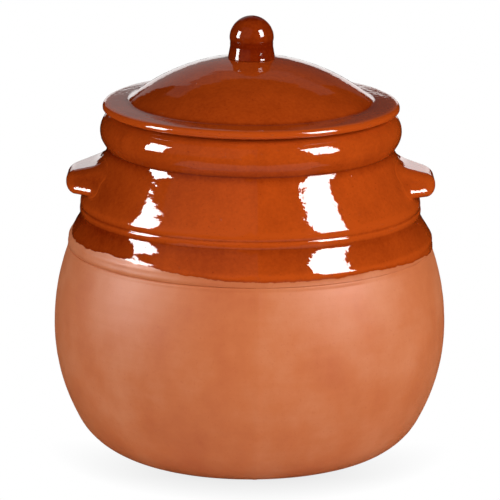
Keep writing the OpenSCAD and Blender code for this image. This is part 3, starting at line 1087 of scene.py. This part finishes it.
def softbox(name, left, right, low, high, strength, distance=1.9, about_z=0.2):
    """A glowing panel between these turns and heights in degrees, which only reflections see."""
    turn, up = (left + right) / 2, (low + high) / 2
    way = towards(turn, up)
    middle = Vector((0, 0, about_z)) + way * distance
    sideways = Vector((math.cos(math.radians(turn)), math.sin(math.radians(turn)), 0))
    above = way.cross(sideways).normalized()
    if above.z < 0:
        above = -above
    across = sideways * distance * math.tan(math.radians(right - left) / 2)
    tall = above * distance * math.tan(math.radians(high - low) / 2)
    mesh = bpy.data.meshes.new(name)
    corners = [middle + across * a + tall * b for a, b in ((-1, -1), (1, -1), (1, 1), (-1, 1))]
    mesh.from_pydata(corners, [], [(0, 1, 2, 3)])
    material = bpy.data.materials.new(name + "_cloth")
    add = begin(material)
    glow = add("ShaderNodeEmission", {"Color": (1, 1, 1, 1), "Strength": strength})
    add("ShaderNodeOutputMaterial", {"Surface": glow}, None)
    mesh.materials.append(material)
    panel = show(name, mesh)
    panel.visible_camera = panel.visible_diffuse = panel.visible_shadow = False
    panel.visible_transmission = panel.visible_volume_scatter = False


class CROCK_OT_stage(bpy.types.Operator):
    """Sets the pale floor, the soft studio light and the camera"""

    bl_idname = "crock.stage"
    bl_label = "Stage"

    def execute(self, context):
        stage = context.scene.crock_stage
        scene = context.scene
        camera = show("camera", bpy.data.cameras.new("camera"))
        camera.data.lens = stage.lens
        camera.data.sensor_width = 36
        camera.data.clip_end = 50
        back = towards(0, math.degrees(stage.elevation))
        camera.location = Vector((0, 0, stage.look_height)) + back * stage.distance
        turned = back.to_track_quat("Z", "Y").to_matrix()
        camera.rotation_euler = (turned @ Matrix.Rotation(stage.roll, 3, "Z")).to_euler()
        scene.camera = camera

        # A round of pale card under the crock.
        work = bmesh.new()
        bmesh.ops.create_circle(work, cap_ends=True, radius=0.62, segments=96)
        mesh = bpy.data.meshes.new("floor")
        work.to_mesh(mesh)
        work.free()
        material = bpy.data.materials.new("matt_white_card")
        add = begin(material)
        where = add("ShaderNodeTexCoord", out="Object")
        seen = add("ShaderNodeLightPath", out="Is Camera Ray")
        card = add("ShaderNodeBsdfDiffuse", {"Color": (0.86, 0.86, 0.86, 1)})
        # To the camera the card is as white as the room, apart from a painted shadow in front of the foot,
        # darker where the card is closed in.
        open_sky = add("ShaderNodeAmbientOcclusion", {"Distance": 35 * MM}, "AO", samples=8)
        ahead = add("ShaderNodeSeparateXYZ", (where,), 1)
        front = add("ShaderNodeMapRange", (ahead, -10 * MM, -100 * MM, 0.0, 0.2))
        shade = add("SUBTRACT", (1.0, open_sky))
        shade = add("MULTIPLY", (shade, front))
        lit = add("SUBTRACT", (1.0, shade))
        shown = add("ShaderNodeEmission", {"Color": (1, 1, 1, 1), "Strength": lit})
        card = add("ShaderNodeMixShader", (seen, card, shown))
        add("ShaderNodeOutputMaterial", {"Surface": card}, None)
        mesh.materials.append(material)
        floor = show("floor", mesh)
        # Just under the foot, which wanders a little.
        floor.location.z = -0.2 * MM
        floor.visible_glossy = False

        world = bpy.data.worlds.new("white room")
        scene.world = world
        add = begin(world)
        path = add("ShaderNodeLightPath", out=None)
        # The room is brighter low down and in front than overhead and behind.
        way = add("ShaderNodeSeparateXYZ", (add("ShaderNodeTexCoord", out="Generated"),), None)
        overhead = add("ShaderNodeMapRange", (way[2], 0.0, 1.0, 0.98, 0.72))
        behind = add("ShaderNodeMapRange", (way[1], -1.0, 1.0, 1.2, 0.7))
        room = add("MULTIPLY", (overhead, behind))
        room = add("MULTIPLY", (room, stage.room_level))
        # The glaze mirrors the panels below and not the room; the camera sees white.
        room = add("ShaderNodeMix", {0: path["Is Glossy Ray"], 2: room, 3: 0.0}, data_type="FLOAT")
        room = add("ShaderNodeMix", {0: path["Is Camera Ray"], 2: room, 3: 1.0}, data_type="FLOAT")
        sky = add("ShaderNodeBackground", {"Color": (1, 1, 1, 1), "Strength": room})
        add("ShaderNodeOutputWorld", {"Surface": sky}, None)

        # The lamps' faces, the pale backdrop behind, the table and the room, as the glaze shows them.
        for name, left, right, low, high, strength in (
            ("key_face", 47, 68, 12, 44, stage.gloss_level),
            ("fill_face", -84.5, -67.5, 2, 31.8, stage.gloss_level),
            ("backdrop_foot", 164, 196, -3, 10.5, 1.3),
            ("backdrop_left", 180, 203, 10.5, 41, 0.34),
            ("backdrop_right", 158, 180, 10.5, 38, 0.06),
            ("backdrop_high", 156, 206, 38, 51, 0.12),
            ("table_front", -24, 24, -75, -28, 0.3),
            ("table_wide", -46, 46, -75, -28, 0.3),
            ("room_left", -64, -6, 4, 60, 0.09),
        ):
            softbox(name, left, right, low, high, strength)
        wide, tall, away = 0.9, 1.2, 1.7
        for name, turn, up, power in (("key", 53, 24, stage.key_power), ("fill", -52, 16, stage.fill_power)):
            lamp = bpy.data.lights.new(name, "AREA")
            lamp.shape = "RECTANGLE"
            lamp.size, lamp.size_y = wide, tall
            lamp.energy = power
            light = show(name, lamp)
            way = towards(turn, up)
            light.location = Vector((0, 0, stage.look_height)) + way * away
            light.rotation_euler = way.to_track_quat("Z", "Y").to_euler()
            light.visible_camera = light.visible_glossy = False
        scene.view_settings.view_transform = "Standard"
        return {"FINISHED"}


class CROCK_PT_panel(bpy.types.Panel):
    """Lists the crock's pieces in the order they are made"""

    bl_idname = "CROCK_PT_panel"
    bl_label = "Earthenware crock"
    bl_space_type = "VIEW_3D"
    bl_region_type = "UI"
    bl_category = "Crock"

    def draw(self, context):
        for step in STEPS:
            self.layout.operator(step.bl_idname)
        for group in ("crock_clay", "crock_colours", "crock_stage"):
            settings = getattr(context.scene, group)
            for name in settings.__annotations__:
                self.layout.prop(settings, name)


STEPS = (CROCK_OT_belly, CROCK_OT_neck, CROCK_OT_lugs, CROCK_OT_lid, CROCK_OT_blisters, CROCK_OT_weights,
         CROCK_OT_stage)
CLASSES = (CrockClay, CrockColours, CrockStage, *STEPS, CROCK_PT_panel)


def register():
    for kind in CLASSES:
        bpy.utils.register_class(kind)
    bpy.types.Scene.crock_clay = bpy.props.PointerProperty(type=CrockClay)
    bpy.types.Scene.crock_colours = bpy.props.PointerProperty(type=CrockColours)
    bpy.types.Scene.crock_stage = bpy.props.PointerProperty(type=CrockStage)


def unregister():
    del bpy.types.Scene.crock_stage, bpy.types.Scene.crock_colours, bpy.types.Scene.crock_clay
    for kind in reversed(CLASSES):
        bpy.utils.unregister_class(kind)


def main():
    register()
    for step in STEPS:
        group, name = step.bl_idname.split(".")
        getattr(getattr(bpy.ops, group), name)()


if __name__ == "__main__":
    main()
